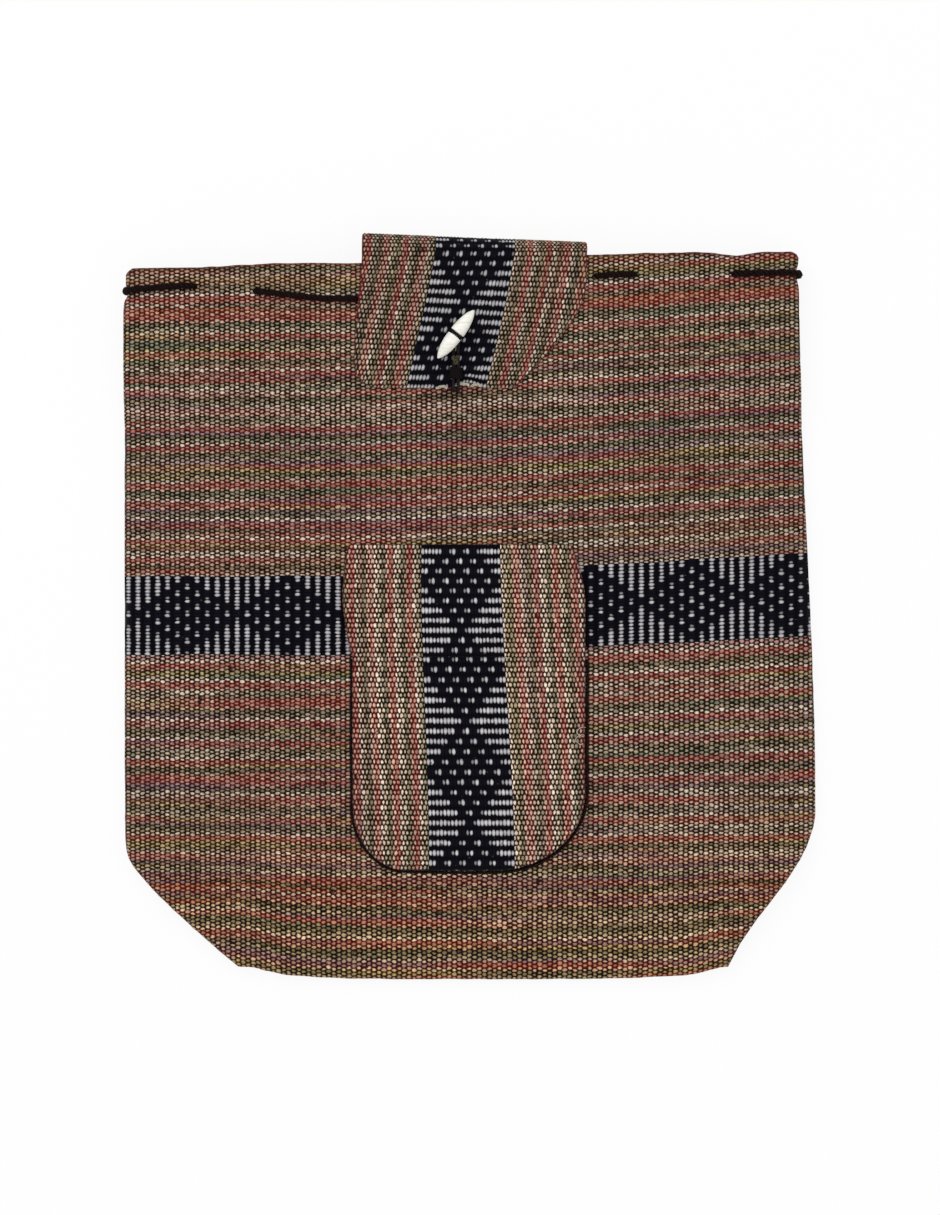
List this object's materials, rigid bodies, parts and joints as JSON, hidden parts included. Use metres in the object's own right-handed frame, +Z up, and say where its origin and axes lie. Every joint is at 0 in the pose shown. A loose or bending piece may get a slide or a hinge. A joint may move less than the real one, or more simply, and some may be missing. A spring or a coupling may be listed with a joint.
{
  "type": "woven drawstring bag with flap and front pocket",
  "caption": "Flat striped hand-woven cotton bag with a drawstring mouth, a flap closed by a bone toggle and loop, and a front pocket, lying on its back.",
  "frame": {"origin": "under the middle of the bag, on the surface that it lies on", "axes": "+Z up out of the front, +Y towards the mouth, +X to the right seen from the front"},
  "size_m": [0.3831, 0.412, 0.0345],
  "materials": {
    "body_cloth": "woven, matte",
    "flap_cloth": "woven, matte",
    "pocket_cloth": "woven, matte",
    "strap_cloth": "woven, matte",
    "dark_cord": "braided, matte",
    "loop_cord": "twisted, matte",
    "bone": "polished bone"
  },
  "bodies": {
    "bag": {"front_panel": "body_cloth", "back_panel": "body_cloth", "main_flap": "flap_cloth", "pocket": "pocket_cloth", "pocket_flap": "pocket_cloth", "pocket_piping": "dark_cord", "drawstring": "dark_cord", "drawstring_knot": "dark_cord", "closing_loop": "loop_cord", "strap_left": "strap_cloth", "strap_right": "strap_cloth"},
    "toggle": {"toggle": "bone", "toggle_tie": "dark_cord"}
  },
  "joints": [
    {"name": "toggle_swivel", "type": "hinge", "parent": "bag", "child": "toggle", "pos_m": [-0.0077, 0.1487, 0.0303], "axis": [0, 0, 1], "range_deg": [-90, 90]}
  ]
}
